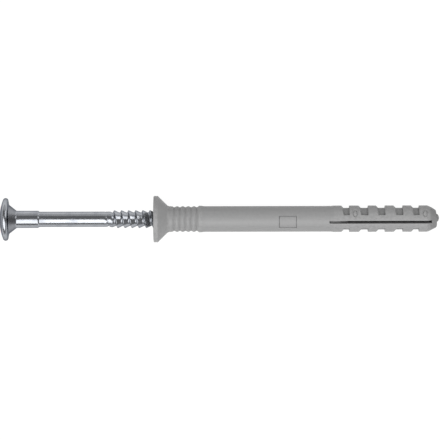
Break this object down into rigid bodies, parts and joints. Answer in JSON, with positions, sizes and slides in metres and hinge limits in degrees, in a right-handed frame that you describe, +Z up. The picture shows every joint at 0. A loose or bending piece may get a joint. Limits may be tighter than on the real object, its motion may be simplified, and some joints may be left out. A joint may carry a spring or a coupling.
{
  "type": "hammer fixing plug",
  "caption": "Slit, toothed nylon plug sleeve with a countersunk collar, and a domed-head nail screw started in its bore, ready to be driven in.",
  "frame": {"origin": "centre of the bounding box's bottom, under the part lying on its collar; the part's axis is parallel to X, 6.47 mm above it", "axes": "+X from the nail's head towards the plug's tip, +Z up through the side with the slit and the size field, +Y to the left of +X"},
  "size_m": [0.1232, 0.013, 0.0129],
  "materials": {
    "zinc_plated_steel": "bright zinc plating on cold-formed wire",
    "grey_nylon": "moulded grey nylon, satin"
  },
  "bodies": {
    "sleeve": {"plug_sleeve": "grey_nylon"},
    "nail": {"nail_screw": "zinc_plated_steel"}
  },
  "joints": [
    {"name": "nail_drive", "type": "slide", "parent": "sleeve", "child": "nail", "axis": [1, 0, 0], "range_m": [0, 0.017]}
  ]
}
